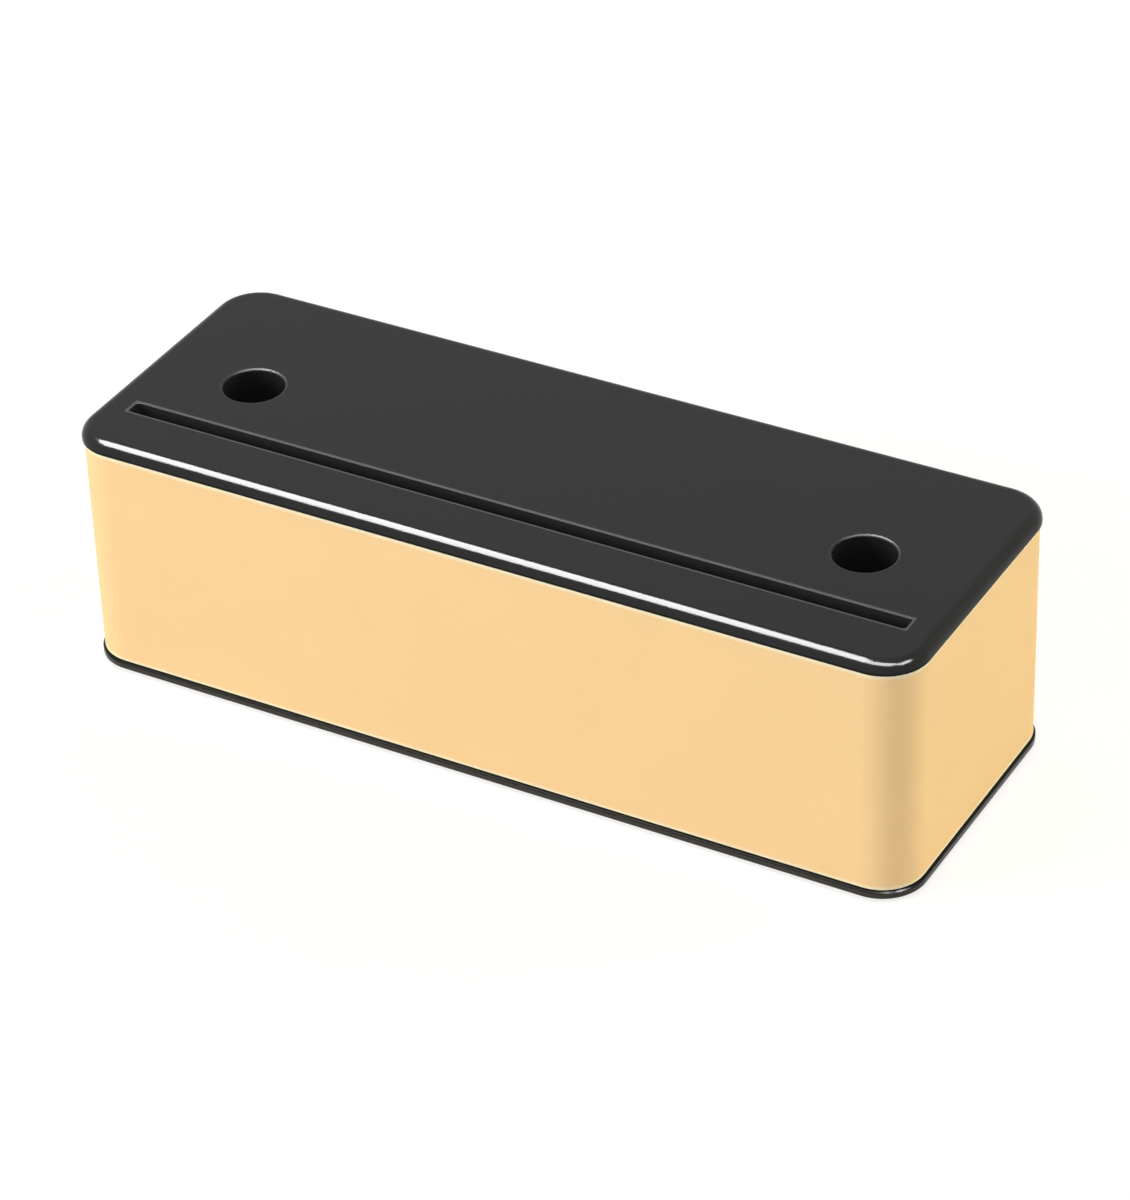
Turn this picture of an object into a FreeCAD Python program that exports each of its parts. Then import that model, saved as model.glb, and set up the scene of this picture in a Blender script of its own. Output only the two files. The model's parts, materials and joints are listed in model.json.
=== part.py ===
import FreeCAD, Part
import math
import os

import Sketcher

# Furniture riser: a moulded cap with two blind leg sockets and an edge groove, a ribbed moulded
# body and a screwed base plate on rubber pads. Millimetres, +Z up. The origin is on the floor
# under the middle, X runs along the length and the groove is on the -Y side.

SIZES = [
    ("length", 280.0, "cap and base, end to end"),
    ("width", 101.0, "cap and base, front to back"),
    ("height", 82.5, "floor to the top of the cap"),
    ("corner_radius", 14.0, "plan corners of cap and base"),
    ("overhang", 0.7, "cap and base stand out past the body by this"),
    ("cap_thickness", 4.0, "plate of the cap"),
    ("lip_radius", 3.6, "rounding of the cap's upper rim"),
    ("mouth_radius", 0.8, "rounding of the socket mouths"),
    ("socket_bore", 19.0, "bore of a leg socket"),
    ("socket_depth", 40.0, "depth of a leg socket"),
    ("socket_wall", 2.5, "wall and floor of a leg socket"),
    ("socket_spacing", 206.0, "from one socket's axis to the other's"),
    ("socket_shift", -1.7, "sockets' place across the width"),
    ("groove_inset", 10.5, "from the end of the cap to the end of the edge groove"),
    ("groove_width", 5.2, "edge groove, wall to wall"),
    ("groove_depth", 6.0, "edge groove, below the top"),
    ("groove_corner", 1.2, "plan corners of the groove"),
    ("groove_rounding", 0.5, "rounding of the groove's mouth"),
    ("groove_shift", -28.1, "groove's place across the width"),
    ("groove_wall", 2.4, "walls and floor of the groove's trough"),
    ("boss_radius", 4.0, "screw bosses under the cap"),
    ("boss_drop", 8.0, "bosses' length below the cap's plate"),
    ("wall", 3.0, "side walls of the body"),
    ("deck", 3.0, "deck of the body, under the cap"),
    ("web", 2.4, "ribs, and the walls of cups and seats in the body"),
    ("long_web_spacing", 33.0, "between the two long ribs"),
    ("edge_bevel", 0.4, "outer edges of the body and the base"),
    ("wall_merge", 0.5, "cups and towers run this far into the side wall"),
    ("tower_height", 20.0, "screw towers that stand inside the body"),
    ("tower_radius", 4.4, "screw towers, outside"),
    ("base_thickness", 2.6, "rim of the base plate"),
    ("step_height", 2.0, "step of the base plate that fits inside the body"),
    ("pad_length", 44.0, "rubber pads"),
    ("pad_width", 24.0, "rubber pads"),
    ("pad_thickness", 2.0, "rubber pads"),
    ("pad_stand", 0.6, "pads stand this far below the base"),
    ("pad_corner", 4.0, "plan corners of the pads"),
    ("pad_inset_x", 36.0, "from the end of the base to a pad's middle"),
    ("pad_inset_y", 24.0, "from the side of the base to a pad's middle"),
    ("end_screw_inset", 18.0, "from the end of the cap to its end screws"),
    ("base_screw_spacing", 124.0, "along the length, between the base's screws"),
    ("screw_shank", 3.5, "screws' thread, outside"),
    ("screw_head", 7.0, "screws' head"),
    ("head_height", 2.4, "screws' head"),
    ("head_bevel", 0.8, "rim of the screws' head"),
    ("cross_width", 1.0, "arms of the screws' cross recess"),
    ("cross_span", 4.0, "tip to tip of the cross recess"),
    ("cross_depth", 1.3, "depth of the cross recess"),
    ("cap_screw_length", 11.0, "below the head"),
    ("base_screw_length", 16.0, "below the head"),
    ("fit_clearance", 0.3, "between moulded parts that locate in each other"),
    ("screw_clearance", 0.1, "round a screw's thread"),
]

# What fits together is worked out here, once, from the sizes above.
BODY_LENGTH = "(Sizes.length - 2 * Sizes.overhang)"
BODY_WIDTH = "(Sizes.width - 2 * Sizes.overhang)"
BODY_CORNER = "(Sizes.corner_radius - Sizes.overhang)"
BODY_FOOT = "(Sizes.pad_stand + Sizes.base_thickness)"
BODY_HEIGHT = "(Sizes.height - Sizes.cap_thickness - Sizes.pad_stand - Sizes.base_thickness)"
HOLLOW_LENGTH = "(Sizes.length - 2 * Sizes.overhang - 2 * Sizes.wall)"
HOLLOW_WIDTH = "(Sizes.width - 2 * Sizes.overhang - 2 * Sizes.wall)"
HOLLOW_CORNER = "(Sizes.corner_radius - Sizes.overhang - Sizes.wall)"
STEP_LENGTH = "(" + HOLLOW_LENGTH + " - 2 * Sizes.fit_clearance)"
STEP_WIDTH = "(" + HOLLOW_WIDTH + " - 2 * Sizes.fit_clearance)"
STEP_CORNER = "(" + HOLLOW_CORNER + " - Sizes.fit_clearance)"
SOCKET_RADIUS = "(Sizes.socket_bore / 2)"
SOCKET_OUTSIDE = "(Sizes.socket_bore / 2 + Sizes.socket_wall)"
SOCKET_DROP = "(Sizes.socket_depth + Sizes.socket_wall - Sizes.cap_thickness)"
SEAT_RADIUS = "(" + SOCKET_OUTSIDE + " + Sizes.fit_clearance)"
GROOVE_LENGTH = "(Sizes.length - 2 * Sizes.groove_inset)"
TROUGH_LENGTH = "(" + GROOVE_LENGTH + " + 2 * Sizes.groove_wall)"
TROUGH_WIDTH = "(Sizes.groove_width + 2 * Sizes.groove_wall)"
TROUGH_CORNER = "(Sizes.groove_corner + Sizes.groove_wall)"
TROUGH_DROP = "(Sizes.groove_depth + Sizes.groove_wall - Sizes.cap_thickness)"
CHANNEL_LENGTH = "(" + TROUGH_LENGTH + " + 2 * Sizes.fit_clearance)"
CHANNEL_WIDTH = "(" + TROUGH_WIDTH + " + 2 * Sizes.fit_clearance)"
CHANNEL_CORNER = "(" + TROUGH_CORNER + " + Sizes.fit_clearance)"
CHANNEL_DROP = "(" + TROUGH_DROP + " + Sizes.fit_clearance)"
CUP_BORE = "(Sizes.boss_radius + Sizes.fit_clearance)"
CUP_RADIUS = "(" + CUP_BORE + " + Sizes.web)"
CUP_DEPTH = "(Sizes.boss_drop + Sizes.deck)"
THREAD_RADIUS = "(Sizes.screw_shank / 2 + Sizes.screw_clearance)"
HEAD_RADIUS = "(Sizes.screw_head / 2 + Sizes.fit_clearance)"
HEAD_RECESS = "(Sizes.head_height + Sizes.fit_clearance)"
CAP_SCREW_Y = "(" + HOLLOW_WIDTH + " / 2 - " + CUP_RADIUS + " + Sizes.wall_merge)"
TOWER_Y = "(" + HOLLOW_WIDTH + " / 2 - Sizes.tower_radius + Sizes.wall_merge)"
PAD_X = "(Sizes.length / 2 - Sizes.pad_inset_x)"
PAD_Y = "(Sizes.width / 2 - Sizes.pad_inset_y)"
END_SCREW_X = "(Sizes.length / 2 - Sizes.end_screw_inset)"

SOCKETS = [("left", "-Sizes.socket_spacing / 2"), ("right", "Sizes.socket_spacing / 2")]
CAP_SCREWS = [(x, y) for x in ("-" + END_SCREW_X, END_SCREW_X)
              for y in ("-" + CAP_SCREW_Y, CAP_SCREW_Y)]
BASE_SCREWS = [(x, y) for x in ("-Sizes.base_screw_spacing / 2", "Sizes.base_screw_spacing / 2")
               for y in ("-" + TOWER_Y, TOWER_Y)]
PADS = [(end + "_" + side, x, y) for end, x in (("left", "-" + PAD_X), ("right", PAD_X))
        for side, y in (("front", "-" + PAD_Y), ("back", PAD_Y))]
WEB_COUNT = 4

# Numbers by which a sketch names the points of an item and its own two axes.
START, END, CENTRE = range(1, 4)
X_AXIS, Y_AXIS = range(-1, -3, -1)
TOUCH = 0.001

doc = FreeCAD.newDocument("furniture_riser")


def fill_sheet():
    """Write the driving dimensions as plain numbers, each under its own alias."""
    sheet = doc.addObject("Spreadsheet::Sheet", "Sizes")
    for row, (alias, value, note) in enumerate(SIZES, start=1):
        sheet.set("A%d" % row, alias)
        sheet.set("B%d" % row, str(value))
        sheet.set("C%d" % row, note)
        sheet.setAlias("B%d" % row, alias)
    doc.recompute()
    return sheet


SHEET = fill_sheet()


def value(formula):
    """The present value of a formula of sheet cells."""
    result = SHEET.evalExpression(formula)
    return float(getattr(result, "Value", result))


def point(x, y):
    return FreeCAD.Vector(x, y, 0)


def new_body(label, height="0"):
    """An empty body, lifted to its place in the object."""
    body = doc.addObject("PartDesign::Body", label)
    body.Label = label
    body.setExpression("Placement.Base.z", height)
    return body


def new_sketch(body, name, role="XY_Plane", lift="0"):
    """A sketch on one of the body's own origin planes, moved along its normal by lift."""
    sketch = body.newObject("Sketcher::SketchObject", name)
    plane = next(item for item in body.Origin.OriginFeatures if item.Role == role)
    sketch.AttachmentSupport = [(plane, "")]
    sketch.MapMode = "FlatFace"
    sketch.setExpression("AttachmentOffset.Base.z", lift)
    return sketch


def dimension(sketch, name, formula, kind, *where):
    """Add one driving constraint and bind it to a formula."""
    index = sketch.addConstraint(Sketcher.Constraint(kind, *where, value(formula)))
    sketch.renameConstraint(index, name)
    sketch.setExpression("Constraints." + name, formula)


def pin(sketch, name, item, end, x, y):
    """Hold a point of a sketch at x, y, measured from the sketch's origin."""
    if x == "0":
        sketch.addConstraint(Sketcher.Constraint("PointOnObject", item, end, Y_AXIS))
    else:
        dimension(sketch, name + "_x", x, "DistanceX", X_AXIS, START, item, end)
    if y == "0":
        sketch.addConstraint(Sketcher.Constraint("PointOnObject", item, end, X_AXIS))
    else:
        dimension(sketch, name + "_y", y, "DistanceY", X_AXIS, START, item, end)


def draw_circle(sketch, name, x, y, radius):
    circle = Part.Circle(point(value(x), value(y)), FreeCAD.Vector(0, 0, 1), value(radius))
    item = sketch.addGeometry(circle)
    pin(sketch, name, item, CENTRE, x, y)
    dimension(sketch, name + "_radius", radius, "Radius", item)


def draw_rounded_rectangle(sketch, name, length, width, radius, x="0", y="0"):
    """Four sides and four corner arcs, drawn anticlockwise from the front side, about x, y."""
    half_x, half_y, corner = value(length) / 2, value(width) / 2, value(radius)
    near_x, near_y = half_x - corner, half_y - corner
    middle = point(value(x), value(y))
    sides = [
        (point(-near_x, -half_y), point(near_x, -half_y)),
        (point(half_x, -near_y), point(half_x, near_y)),
        (point(near_x, half_y), point(-near_x, half_y)),
        (point(-half_x, near_y), point(-half_x, -near_y)),
    ]
    corners = [point(near_x, -near_y), point(near_x, near_y),
               point(-near_x, near_y), point(-near_x, -near_y)]
    quarter = math.pi / 2
    items = []
    for turn, ((start, end), centre) in enumerate(zip(sides, corners)):
        items.append(sketch.addGeometry(Part.LineSegment(middle + start, middle + end)))
        circle = Part.Circle(middle + centre, FreeCAD.Vector(0, 0, 1), corner)
        arc = Part.ArcOfCircle(circle, (turn - 1) * quarter, turn * quarter)
        items.append(sketch.addGeometry(arc))
    for here, following in zip(items, items[1:] + items[:1]):
        sketch.addConstraint(Sketcher.Constraint("Tangent", here, END, following, START))
    front, right, back, left = items[0::2]
    arcs = items[1::2]
    for here, following in zip(arcs, arcs[1:]):
        sketch.addConstraint(Sketcher.Constraint("Equal", here, following))
    for item, direction in ((front, "Horizontal"), (back, "Horizontal"),
                            (right, "Vertical"), (left, "Vertical")):
        sketch.addConstraint(Sketcher.Constraint(direction, item))

    centre_point = sketch.addGeometry(Part.Point(middle), True)
    pin(sketch, name, centre_point, START, x, y)
    sketch.addConstraint(
        Sketcher.Constraint("Symmetric", front, START, back, START, centre_point, START))
    dimension(sketch, name + "_radius", radius, "Radius", arcs[0])
    dimension(sketch, name + "_length", length, "DistanceX", left, START, right, START)
    dimension(sketch, name + "_width", width, "DistanceY", front, START, back, START)


def draw_polygon(sketch, name, corners):
    """A closed outline of straight lines. Each corner is held at its own formulas."""
    places = [point(value(x), value(y)) for x, y in corners]
    items = []
    for here, following in zip(places, places[1:] + places[:1]):
        items.append(sketch.addGeometry(Part.LineSegment(here, following)))
    for here, following in zip(items, items[1:] + items[:1]):
        sketch.addConstraint(Sketcher.Constraint("Coincident", here, END, following, START))
    for step, (item, (x, y)) in enumerate(zip(items, corners)):
        pin(sketch, "%s_%d" % (name, step), item, START, x, y)


def draw_bar(sketch, name, length, width, x="0", y="0"):
    """A plain rectangle about x, y."""
    half_x, half_y = "(" + length + ") / 2", "(" + width + ") / 2"
    low_x, high_x = x + " - " + half_x, x + " + " + half_x
    low_y, high_y = y + " - " + half_y, y + " + " + half_y
    draw_polygon(sketch, name, [(low_x, low_y), (high_x, low_y), (high_x, high_y), (low_x, high_y)])


def extrude(body, kind, name, sketch, depth, reverse):
    """A pad or pocket. A pad follows the sketch's normal and a pocket cuts against it."""
    doc.recompute()
    before = body.Shape.Volume if body.Tip else 0.0
    feature = body.newObject("PartDesign::" + kind, name)
    feature.Profile = sketch
    feature.setExpression("Length", depth)
    feature.Reversed = reverse
    doc.recompute()
    change = feature.Shape.Volume - before
    if (change > 0) != (kind == "Pad"):
        raise RuntimeError("%s changed the volume by %.3f" % (name, change))
    return feature


def pad_up(body, name, sketch, depth):
    return extrude(body, "Pad", name, sketch, depth, False)


def pad_down(body, name, sketch, depth):
    return extrude(body, "Pad", name, sketch, depth, True)


def cut_down(body, name, sketch, depth):
    return extrude(body, "Pocket", name, sketch, depth, False)


def cut_up(body, name, sketch, depth):
    return extrude(body, "Pocket", name, sketch, depth, True)


def ease_edges(body, kind, name, size, wanted):
    """Fillet or chamfer every edge of the body that the test wanted says yes to."""
    doc.recompute()
    base = body.Tip
    names = ["Edge%d" % number for number, edge in enumerate(base.Shape.Edges, start=1)
             if wanted(edge.BoundBox)]
    if not names:
        raise RuntimeError(name + " finds no edge")
    feature = body.newObject("PartDesign::" + kind, name)
    feature.Base = (base, names)
    feature.setExpression("Radius" if kind == "Fillet" else "Size", size)
    doc.recompute()


def lies_at(box, level):
    """Whether an edge's box is flat at a level."""
    return abs(box.ZMin - level) < TOUCH and abs(box.ZMax - level) < TOUCH


def on_rim(height, length, width):
    """Test for the edges at a height that run round the outside of a length by width outline."""
    level = value(height)
    end_x, side_y = value(length) / 2 - TOUCH, value(width) / 2 - TOUCH

    def test(box):
        far_x = max(abs(box.XMin), abs(box.XMax))
        far_y = max(abs(box.YMin), abs(box.YMax))
        return lies_at(box, level) and (far_x > end_x or far_y > side_y)
    return test


def inside(height, zones):
    """Test for the edges at a height that lie within one of the zones: x, y and both sizes."""
    level = value(height)
    limits = []
    for x, y, length, width in zones:
        half_x, half_y = value(length) / 2 + TOUCH, value(width) / 2 + TOUCH
        limits.append((value(x) - half_x, value(x) + half_x, value(y) - half_y, value(y) + half_y))

    def test(box):
        return lies_at(box, level) and any(
            low_x < box.XMin and box.XMax < high_x and low_y < box.YMin and box.YMax < high_y
            for low_x, high_x, low_y, high_y in limits)
    return test


def build_top_cap():
    """Plate with a rounded lip; its sockets, trough and bosses hang below the plate."""
    body = new_body("top_cap", "Sizes.height - Sizes.cap_thickness")
    plate = new_sketch(body, "cap_outline")
    draw_rounded_rectangle(plate, "cap", "Sizes.length", "Sizes.width", "Sizes.corner_radius")
    pad_up(body, "cap_plate", plate, "Sizes.cap_thickness")

    tubes = new_sketch(body, "socket_outsides")
    for side, x in SOCKETS:
        draw_circle(tubes, side, x, "Sizes.socket_shift", SOCKET_OUTSIDE)
    pad_down(body, "socket_tubes", tubes, SOCKET_DROP)

    trough = new_sketch(body, "trough_outline")
    draw_rounded_rectangle(trough, "trough", TROUGH_LENGTH, TROUGH_WIDTH, TROUGH_CORNER,
                           y="Sizes.groove_shift")
    pad_down(body, "groove_trough", trough, TROUGH_DROP)

    bosses = new_sketch(body, "boss_circles")
    for number, (x, y) in enumerate(CAP_SCREWS):
        draw_circle(bosses, "boss_%d" % number, x, y, "Sizes.boss_radius")
    pad_down(body, "screw_bosses", bosses, "Sizes.boss_drop")

    bores = new_sketch(body, "socket_bores", lift="Sizes.cap_thickness")
    for side, x in SOCKETS:
        draw_circle(bores, side, x, "Sizes.socket_shift", SOCKET_RADIUS)
    cut_down(body, "leg_sockets", bores, "Sizes.socket_depth")

    groove = new_sketch(body, "groove_outline", lift="Sizes.cap_thickness")
    draw_rounded_rectangle(groove, "groove", GROOVE_LENGTH, "Sizes.groove_width",
                           "Sizes.groove_corner", y="Sizes.groove_shift")
    cut_down(body, "edge_groove", groove, "Sizes.groove_depth")

    pilots = new_sketch(body, "pilot_circles", lift="-Sizes.boss_drop")
    for number, (x, y) in enumerate(CAP_SCREWS):
        draw_circle(pilots, "pilot_%d" % number, x, y, THREAD_RADIUS)
    cut_up(body, "boss_pilots", pilots, "Sizes.cap_screw_length - Sizes.web")

    top = "Sizes.cap_thickness"
    socket_zones = [(x, "Sizes.socket_shift", "Sizes.socket_bore", "Sizes.socket_bore")
                    for side, x in SOCKETS]
    groove_zone = ("0", "Sizes.groove_shift", GROOVE_LENGTH, "Sizes.groove_width")
    ease_edges(body, "Fillet", "lip", "Sizes.lip_radius",
               on_rim(top, "Sizes.length", "Sizes.width"))
    ease_edges(body, "Fillet", "socket_mouths", "Sizes.mouth_radius", inside(top, socket_zones))
    ease_edges(body, "Fillet", "groove_mouth", "Sizes.groove_rounding", inside(top, [groove_zone]))
    return body


def build_riser_body():
    """Shell with a deck, open below. Ribs, socket seats and screw cups hang from the deck."""
    body = new_body("riser_body", BODY_FOOT)
    outline = new_sketch(body, "body_outline")
    draw_rounded_rectangle(outline, "body", BODY_LENGTH, BODY_WIDTH, BODY_CORNER)
    pad_up(body, "block", outline, BODY_HEIGHT)

    hollow = new_sketch(body, "hollow_outline")
    draw_rounded_rectangle(hollow, "hollow", HOLLOW_LENGTH, HOLLOW_WIDTH, HOLLOW_CORNER)
    cut_up(body, "shell", hollow, BODY_HEIGHT + " - Sizes.deck")

    web_height = BODY_HEIGHT + " - Sizes.step_height"
    long_webs = new_sketch(body, "long_web_lines", lift="Sizes.step_height")
    for side, sign in (("front", "-"), ("back", "")):
        y = sign + "Sizes.long_web_spacing / 2 + Sizes.socket_shift"
        draw_bar(long_webs, side, BODY_LENGTH + " - Sizes.wall", "Sizes.web", y=y)
    pad_up(body, "long_webs", long_webs, web_height)

    cross_web = new_sketch(body, "cross_web_line", lift="Sizes.step_height")
    draw_bar(cross_web, "web", "Sizes.web", BODY_WIDTH + " - Sizes.wall",
             x="-Sizes.socket_spacing / 2")
    first_web = pad_up(body, "cross_web", cross_web, web_height)
    pattern = body.newObject("PartDesign::LinearPattern", "cross_webs")
    pattern.Originals = [first_web]
    pattern.Direction = (cross_web, ["H_Axis"])
    pattern.Occurrences = WEB_COUNT
    pattern.setExpression("Length", "Sizes.socket_spacing")
    body.Tip = pattern

    seats = new_sketch(body, "seat_outsides", lift=BODY_HEIGHT)
    for side, x in SOCKETS:
        draw_circle(seats, side, x, "Sizes.socket_shift", SEAT_RADIUS + " + Sizes.web")
    pad_down(body, "socket_seats", seats, SOCKET_DROP + " + Sizes.deck")

    channel = new_sketch(body, "channel_outside", lift=BODY_HEIGHT)
    draw_rounded_rectangle(channel, "channel", CHANNEL_LENGTH + " + 2 * Sizes.web",
                           CHANNEL_WIDTH + " + 2 * Sizes.web", CHANNEL_CORNER + " + Sizes.web",
                           y="Sizes.groove_shift")
    pad_down(body, "channel_walls", channel, CHANNEL_DROP + " + Sizes.web")

    cups = new_sketch(body, "cup_outsides", lift=BODY_HEIGHT)
    for number, (x, y) in enumerate(CAP_SCREWS):
        draw_circle(cups, "cup_%d" % number, x, y, CUP_RADIUS)
    pad_down(body, "screw_cups", cups, CUP_DEPTH)

    towers = new_sketch(body, "tower_outsides", lift="Sizes.step_height")
    for number, (x, y) in enumerate(BASE_SCREWS):
        draw_circle(towers, "tower_%d" % number, x, y, "Sizes.tower_radius")
    pad_up(body, "screw_towers", towers, "Sizes.tower_height")

    seat_bores = new_sketch(body, "seat_bores", lift=BODY_HEIGHT)
    for side, x in SOCKETS:
        draw_circle(seat_bores, side, x, "Sizes.socket_shift", SEAT_RADIUS)
    cut_down(body, "socket_seat_bores", seat_bores, SOCKET_DROP)

    channel_bore = new_sketch(body, "channel_inside", lift=BODY_HEIGHT)
    draw_rounded_rectangle(channel_bore, "channel", CHANNEL_LENGTH, CHANNEL_WIDTH,
                           CHANNEL_CORNER, y="Sizes.groove_shift")
    cut_down(body, "trough_channel", channel_bore, CHANNEL_DROP)

    cup_bores = new_sketch(body, "cup_bores", lift=BODY_HEIGHT)
    cup_holes = new_sketch(body, "cup_holes", lift=BODY_HEIGHT)
    for number, (x, y) in enumerate(CAP_SCREWS):
        draw_circle(cup_bores, "cup_%d" % number, x, y, CUP_BORE)
        draw_circle(cup_holes, "hole_%d" % number, x, y, THREAD_RADIUS)
    cut_down(body, "cup_hollows", cup_bores, "Sizes.boss_drop")
    cut_down(body, "cup_screw_holes", cup_holes, CUP_DEPTH)

    pilots = new_sketch(body, "tower_pilots", lift="Sizes.step_height")
    for number, (x, y) in enumerate(BASE_SCREWS):
        draw_circle(pilots, "pilot_%d" % number, x, y, THREAD_RADIUS)
    cut_up(body, "tower_holes", pilots, "Sizes.base_screw_length")

    for name, level in (("top_edge", BODY_HEIGHT), ("foot_edge", "0")):
        ease_edges(body, "Chamfer", name, "Sizes.edge_bevel",
                   on_rim(level, BODY_LENGTH, BODY_WIDTH))
    return body


def build_base_plate():
    """Rim plate with a step that fits inside the body, pad recesses and sunk screw holes."""
    body = new_body("base_plate", "Sizes.pad_stand")
    rim = new_sketch(body, "rim_outline")
    draw_rounded_rectangle(rim, "rim", "Sizes.length", "Sizes.width", "Sizes.corner_radius")
    pad_up(body, "rim_plate", rim, "Sizes.base_thickness")

    step = new_sketch(body, "step_outline", lift="Sizes.base_thickness")
    draw_rounded_rectangle(step, "step", STEP_LENGTH, STEP_WIDTH, STEP_CORNER)
    pad_up(body, "locating_step", step, "Sizes.step_height")

    recesses = new_sketch(body, "recess_outlines")
    for name, x, y in PADS:
        draw_rounded_rectangle(recesses, name, "Sizes.pad_length + 2 * Sizes.fit_clearance",
                               "Sizes.pad_width + 2 * Sizes.fit_clearance",
                               "Sizes.pad_corner + Sizes.fit_clearance", x, y)
    cut_up(body, "pad_recesses", recesses, "Sizes.pad_thickness - Sizes.pad_stand")

    heads = new_sketch(body, "head_circles")
    holes = new_sketch(body, "hole_circles")
    for number, (x, y) in enumerate(BASE_SCREWS):
        draw_circle(heads, "head_%d" % number, x, y, HEAD_RADIUS)
        draw_circle(holes, "hole_%d" % number, x, y, THREAD_RADIUS)
    cut_up(body, "head_recesses", heads, HEAD_RECESS)
    cut_up(body, "screw_holes", holes, "Sizes.base_thickness + Sizes.step_height")

    for name, level in (("rim_top_edge", "Sizes.base_thickness"), ("rim_foot_edge", "0")):
        ease_edges(body, "Chamfer", name, "Sizes.edge_bevel",
                   on_rim(level, "Sizes.length", "Sizes.width"))
    return body


def build_foot_pad(name, x, y):
    """Rubber pad glued in a recess of the base plate, standing a little below it."""
    body = new_body("foot_pad_" + name)
    outline = new_sketch(body, name + "_pad_outline")
    draw_rounded_rectangle(outline, "pad", "Sizes.pad_length", "Sizes.pad_width",
                           "Sizes.pad_corner", x, y)
    pad_up(body, name + "_pad", outline, "Sizes.pad_thickness")

    ease_edges(body, "Chamfer", name + "_pad_edge", "Sizes.pad_stand / 2",
               inside("0", [(x, y, "Sizes.pad_length", "Sizes.pad_width")]))
    return body


def build_screw(name, x, y, height, shank_length):
    """Pan head screw that points up, with the underside of its head at height."""
    body = new_body(name, height)
    body.setExpression("Placement.Base.x", x)
    body.setExpression("Placement.Base.y", y)
    profile = new_sketch(body, name + "_profile", role="XZ_Plane")
    draw_polygon(profile, "screw", [
        ("0", "-Sizes.head_height"),
        ("Sizes.screw_head / 2 - Sizes.head_bevel", "-Sizes.head_height"),
        ("Sizes.screw_head / 2", "Sizes.head_bevel - Sizes.head_height"),
        ("Sizes.screw_head / 2", "0"),
        ("Sizes.screw_shank / 2", "0"),
        ("Sizes.screw_shank / 2", shank_length),
        ("0", shank_length),
    ])
    doc.recompute()
    turned = body.newObject("PartDesign::Revolution", name + "_turned")
    turned.Profile = profile
    turned.ReferenceAxis = (profile, ["V_Axis"])
    turned.Angle = 360.0

    for arm, length, width in (("along", "Sizes.cross_span", "Sizes.cross_width"),
                               ("across", "Sizes.cross_width", "Sizes.cross_span")):
        recess = new_sketch(body, name + "_" + arm, lift="-Sizes.head_height")
        draw_bar(recess, arm, length, width)
        cut_up(body, name + "_cut_" + arm, recess, "Sizes.cross_depth")
    return body


def build_screws(label, places, height, shank_length):
    """One group for a set of equal screws."""
    screws = []
    for number, (x, y) in enumerate(places, start=1):
        screws.append(build_screw("%s_%d" % (label, number), x, y, height, shank_length))
    group = doc.addObject("Part::Compound", label)
    group.Label = label
    group.Links = screws
    return group


def main():
    cap_screw_seat = "Sizes.height - Sizes.cap_thickness - " + CUP_DEPTH
    base_screw_seat = "Sizes.pad_stand + " + HEAD_RECESS
    pieces = [build_top_cap(), build_riser_body(), build_base_plate()]
    pieces += [build_foot_pad(*pad) for pad in PADS]
    pieces.append(build_screws("cap_screws", CAP_SCREWS, cap_screw_seat, "Sizes.cap_screw_length"))
    pieces.append(build_screws("base_screws", BASE_SCREWS, base_screw_seat,
                               "Sizes.base_screw_length"))
    doc.recompute()

    for item in doc.Objects:
        if "Invalid" in item.State or "Error" in item.State:
            raise RuntimeError("%s is %s" % (item.Name, item.State))
    for piece in pieces:
        if piece.Shape.isNull() or not piece.Shape.isValid():
            raise RuntimeError(piece.Label + " has no valid shape")

    os.makedirs("parts", exist_ok=True)
    for piece in pieces:
        piece.Shape.exportStep("parts/" + piece.Label + ".step")
        print("%-22s %9.1f mm3, %d solids" % (piece.Label, piece.Shape.Volume,
                                              len(piece.Shape.Solids)))


main()
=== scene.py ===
"""Furniture riser: finishes, fine pieces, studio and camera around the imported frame. Metres."""

import json
import logging
import math
from dataclasses import dataclass, field
from enum import Enum

import bmesh
import bpy
from mathutils import Matrix, Vector

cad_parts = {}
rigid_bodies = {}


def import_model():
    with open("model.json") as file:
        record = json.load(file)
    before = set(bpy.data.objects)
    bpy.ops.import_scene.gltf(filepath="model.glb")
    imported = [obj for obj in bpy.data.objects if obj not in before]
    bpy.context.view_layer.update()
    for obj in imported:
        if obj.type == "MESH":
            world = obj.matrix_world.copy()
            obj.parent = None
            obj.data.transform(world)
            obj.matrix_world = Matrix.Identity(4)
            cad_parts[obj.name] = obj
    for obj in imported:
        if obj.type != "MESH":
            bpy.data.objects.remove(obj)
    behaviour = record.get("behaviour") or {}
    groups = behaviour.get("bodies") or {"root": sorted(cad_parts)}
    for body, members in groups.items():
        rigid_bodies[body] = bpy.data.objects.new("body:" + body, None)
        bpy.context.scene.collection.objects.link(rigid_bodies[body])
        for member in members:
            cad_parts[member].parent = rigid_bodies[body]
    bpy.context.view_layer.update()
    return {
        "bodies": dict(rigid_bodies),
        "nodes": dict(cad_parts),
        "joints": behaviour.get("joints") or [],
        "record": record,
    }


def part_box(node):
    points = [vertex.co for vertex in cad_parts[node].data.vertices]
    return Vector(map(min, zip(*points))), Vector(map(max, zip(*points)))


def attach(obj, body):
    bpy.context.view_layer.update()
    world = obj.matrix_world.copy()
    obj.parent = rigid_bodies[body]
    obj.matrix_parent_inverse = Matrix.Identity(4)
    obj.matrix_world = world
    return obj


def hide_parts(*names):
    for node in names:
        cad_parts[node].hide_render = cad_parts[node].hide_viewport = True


LOG = logging.getLogger("riser")
MM = 0.001
ROOT = "root"
SHARP = math.radians(35)
TURN_SEED = 7
NOISE_ROUGHNESS = 0.6
WHITE = (1.0, 1.0, 1.0)
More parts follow.
